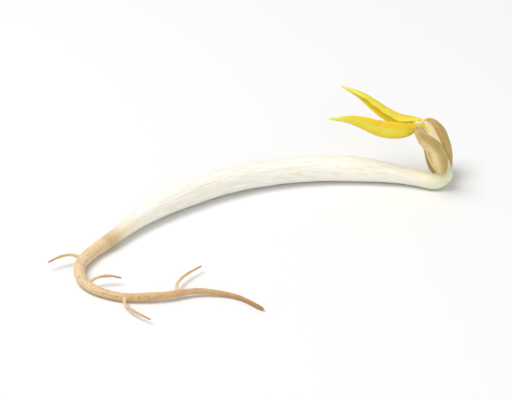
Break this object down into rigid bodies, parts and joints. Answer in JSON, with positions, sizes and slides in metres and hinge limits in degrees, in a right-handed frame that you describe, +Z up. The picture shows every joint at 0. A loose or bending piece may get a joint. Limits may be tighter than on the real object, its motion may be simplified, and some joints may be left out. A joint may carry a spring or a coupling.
{
  "type": "mung bean sprout",
  "caption": "Mung bean sprout lying down: thick white bent stem, hooked neck, split khaki seed leaves, folded yellow leaves and a thin tan branching root.",
  "frame": {"origin": "middle of the underside of the sprout's box, on the surface it lies on", "axes": "+Z up; +X along the sprout towards its head; +Y away from the side its root curls to"},
  "size_m": [0.0496, 0.0402, 0.0107],
  "materials": {
    "stem_flesh": "moist white plant skin, satin, slightly see-through, finely streaked lengthwise",
    "root_skin": "dry tan root skin, matt, browner towards the tip",
    "seed_leaf": "khaki-cream bean flesh, satin, mottled and faintly wrinkled",
    "shoot_flesh": "pale cream plant skin, satin, slightly see-through",
    "young_leaf": "bright yellow leaf, soft satin, fine ribs, deeper yellow in the fold"
  },
  "bodies": {
    "root": {"stem": "stem_flesh", "root": "root_skin", "rootlet_1": "root_skin", "rootlet_2": "root_skin", "rootlet_3": "root_skin", "rootlet_4": "root_skin", "seed_leaf_outer": "seed_leaf", "seed_leaf_inner": "seed_leaf", "shoot_stem": "shoot_flesh", "leaf_upper": "young_leaf", "leaf_lower": "young_leaf", "shoot_tip": "shoot_flesh"}
  },
  "joints": []
}
